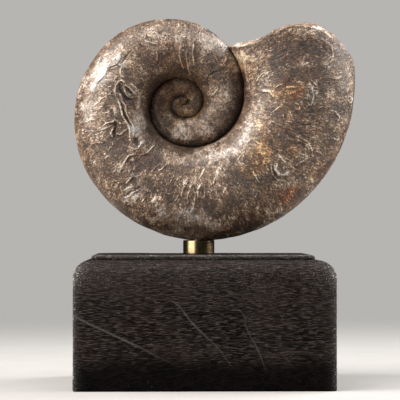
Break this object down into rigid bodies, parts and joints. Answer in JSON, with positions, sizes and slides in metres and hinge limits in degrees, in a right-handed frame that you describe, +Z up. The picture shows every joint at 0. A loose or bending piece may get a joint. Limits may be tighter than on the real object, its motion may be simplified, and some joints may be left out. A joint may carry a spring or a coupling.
{
  "type": "ammonite fossil on a stand",
  "caption": "Coiled Lytoceras ammonite fossil with a broken mouth, pinned upright through a short brass collar on a black wooden plinth.",
  "frame": {"origin": "middle of the wooden plinth's underside", "axes": "+Z up, the coiling axis along Y, -Y the front that faces the viewer, +X to the viewer's right"},
  "size_m": [0.1096, 0.064, 0.1422],
  "materials": {
    "fossil_limestone": "waxed, mottled brown and grey",
    "polished_brass": "polished",
    "pin_steel": "plain",
    "blackened_wood": "stained black, open grain, satin"
  },
  "bodies": {
    "root": {"ammonite": "fossil_limestone", "brass_collar": "polished_brass", "steel_pin": "pin_steel", "wooden_plinth": "blackened_wood"}
  },
  "joints": []
}
